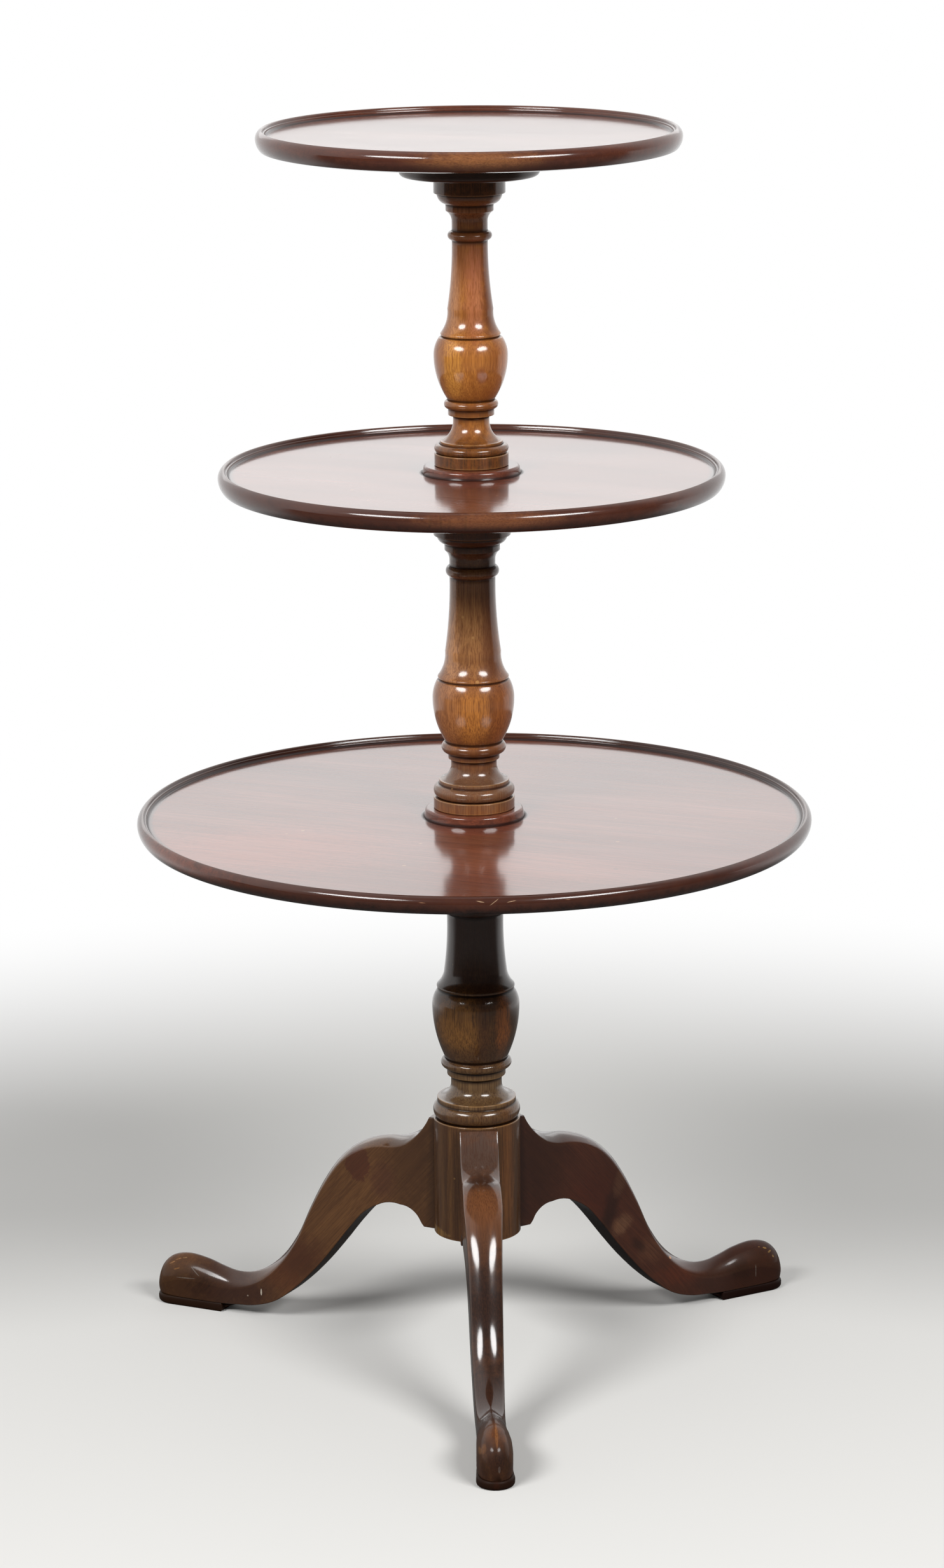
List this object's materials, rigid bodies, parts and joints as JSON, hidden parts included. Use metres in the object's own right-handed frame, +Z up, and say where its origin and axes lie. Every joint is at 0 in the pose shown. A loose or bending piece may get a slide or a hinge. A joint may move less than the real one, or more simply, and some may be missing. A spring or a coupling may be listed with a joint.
{
  "type": "dumbwaiter table",
  "caption": "Tiered dumbwaiter table: round dished mahogany trays of falling size revolve on a turned column with cabriole legs on slipper feet.",
  "frame": {"origin": "on the floor under the column's axis, in the plane of the foot pads", "axes": "+Z up along the column, the front leg points along -Y"},
  "size_m": [0.6099, 0.6485, 1.1367],
  "materials": {
    "tray_mahogany": "French polished, glossy",
    "column_mahogany": "French polished, glossy",
    "leg_mahogany": "French polished, worn on the feet",
    "block_mahogany": "French polished edge, plain underside",
    "wrought_iron": "blackened, dull",
    "iron_screw": "dull grey"
  },
  "bodies": {
    "stand": {"pillar": "column_mahogany", "middle_column": "column_mahogany", "upper_column": "column_mahogany", "leg_front": "leg_mahogany", "leg_right": "leg_mahogany", "leg_left": "leg_mahogany", "tripod_brace": "wrought_iron", "brace_screws": "iron_screw"},
    "lower_tier": {"lower_tray": "tray_mahogany", "lower_bearing_block": "block_mahogany", "lower_block_screws": "iron_screw"},
    "middle_tier": {"middle_tray": "tray_mahogany", "middle_bearing_block": "block_mahogany", "middle_block_screws": "iron_screw"},
    "top_tier": {"top_tray": "tray_mahogany", "top_bearing_block": "block_mahogany", "top_block_screws": "iron_screw"}
  },
  "joints": [
    {"name": "lower_tray_turn", "type": "hinge", "parent": "stand", "child": "lower_tier", "pos_m": [0, 0, 0.503], "axis": [0, 0, 1], "continuous": true},
    {"name": "middle_tray_turn", "type": "hinge", "parent": "stand", "child": "middle_tier", "pos_m": [0, 0, 0.8162], "axis": [0, 0, 1], "continuous": true},
    {"name": "top_tray_turn", "type": "hinge", "parent": "stand", "child": "top_tier", "pos_m": [0, 0, 1.117], "axis": [0, 0, 1], "continuous": true}
  ]
}
